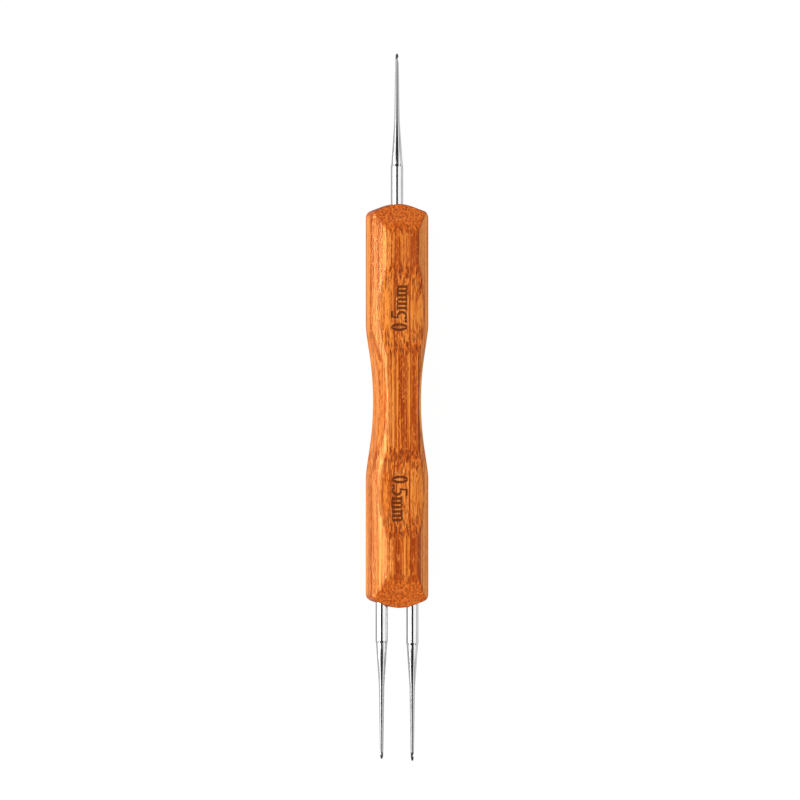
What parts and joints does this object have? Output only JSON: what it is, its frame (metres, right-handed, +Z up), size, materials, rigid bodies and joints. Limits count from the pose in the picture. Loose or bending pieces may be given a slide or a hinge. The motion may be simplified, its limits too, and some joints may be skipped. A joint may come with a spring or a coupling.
{
  "type": "crochet hook",
  "caption": "Dreadlock crochet hook with fine steel hooks set in both ends of a carved, faceted bamboo handle that has a waist and finger rests.",
  "frame": {"origin": "on the back face that the tool lies on, at half the handle's length and width", "axes": "+Y along the handle to the single hook, +X across the handle, +Z up out of the front face"},
  "size_m": [0.0128, 0.15, 0.0124],
  "materials": {
    "bamboo": "carbonised bamboo, sanded and lacquered to a satin sheen, end grain dotted",
    "polished_steel": "polished",
    "cured_glue": "clear amber, glossy"
  },
  "bodies": {
    "root": {"bamboo_strip_left": "bamboo", "bamboo_strip_centre": "bamboo", "bamboo_strip_right": "bamboo", "single_hook": "polished_steel", "twin_hook_left": "polished_steel", "twin_hook_right": "polished_steel", "glue_single": "cured_glue", "glue_twin_left": "cured_glue", "glue_twin_right": "cured_glue"}
  },
  "joints": []
}
